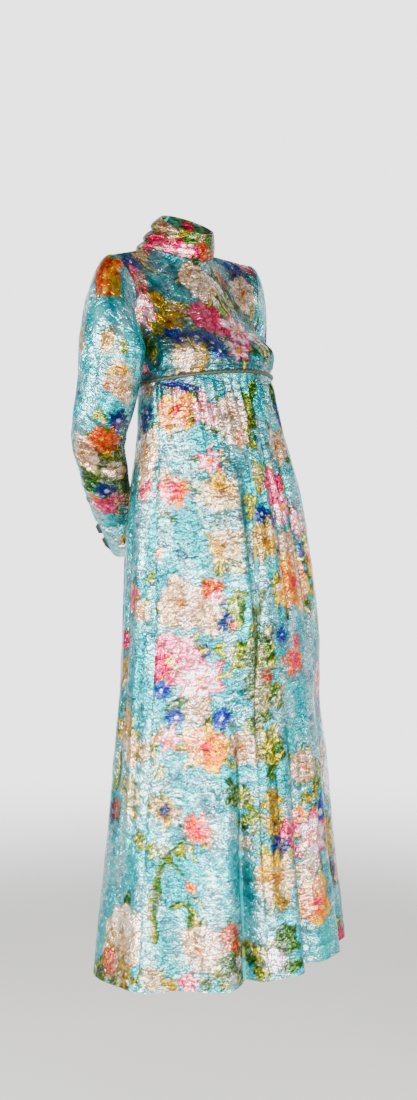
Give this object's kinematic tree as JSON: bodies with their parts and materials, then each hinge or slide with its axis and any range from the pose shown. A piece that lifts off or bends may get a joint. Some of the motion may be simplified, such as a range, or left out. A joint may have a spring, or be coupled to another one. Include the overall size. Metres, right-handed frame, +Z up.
{
  "type": "maxi dress",
  "caption": "Empire-waist ankle-length dress with a high rolled collar and long cuffed sleeves, hollow and open at neck, cuffs and hem, in its worn form.",
  "frame": {"origin": "centre of the neck base, level with the highest points of the shoulder seams, where the wearer's shoulders carry the dress", "axes": "+Z up along the dress, -Y the front, -X the wearer's right"},
  "size_m": [0.5001, 0.4832, 1.3529],
  "materials": {
    "brocade": "metallic lame brocade, turquoise ground with printed flowers and a fine raised network",
    "piping": "olive corded piping",
    "underlap": "dark green plain cloth",
    "zip_tape": "woven tape with fine teeth",
    "metal": "nickel plated"
  },
  "bodies": {
    "root": {"bodice_front": "brocade", "bodice_back_left": "brocade", "bodice_back_right": "brocade", "collar": "brocade", "sleeve_left": "brocade", "sleeve_right": "brocade", "cuff_left": "brocade", "cuff_right": "brocade", "cuff_underlap_left": "underlap", "cuff_underlap_right": "underlap", "cuff_snap_left": "metal", "cuff_snap_right": "metal", "waist_piping": "piping", "skirt_front": "brocade", "skirt_back_left": "brocade", "skirt_back_right": "brocade", "back_zip": "zip_tape", "back_zip_slider": "metal", "back_zip_pull": "metal"}
  },
  "joints": []
}
